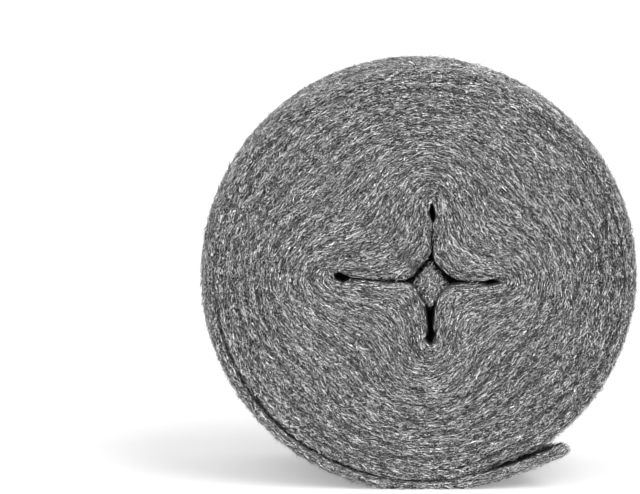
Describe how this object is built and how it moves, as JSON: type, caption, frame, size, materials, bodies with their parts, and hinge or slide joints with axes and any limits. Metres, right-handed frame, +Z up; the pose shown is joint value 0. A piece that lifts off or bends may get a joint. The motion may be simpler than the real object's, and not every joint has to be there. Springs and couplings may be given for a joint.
{
  "type": "steel wool bundle",
  "caption": "Soft round roll of steel wool strip standing on its rim, with a narrow star shaped opening through the middle and the strip's loose end standing off at the lower right.",
  "frame": {"origin": "on the floor under the middle of the roll: middle of the box left to right and front to back, at its lowest level", "axes": "+Z up, Y along the roll's axis with the front end face towards -Y, +X to the right seen from the front, where the loose end stands off"},
  "size_m": [0.2, 0.081, 0.195],
  "materials": {
    "steel_wool": "matted fine steel fibres, dull grey with bright glints"
  },
  "bodies": {
    "root": {"steel_wool_roll": "steel_wool"}
  },
  "joints": []
}
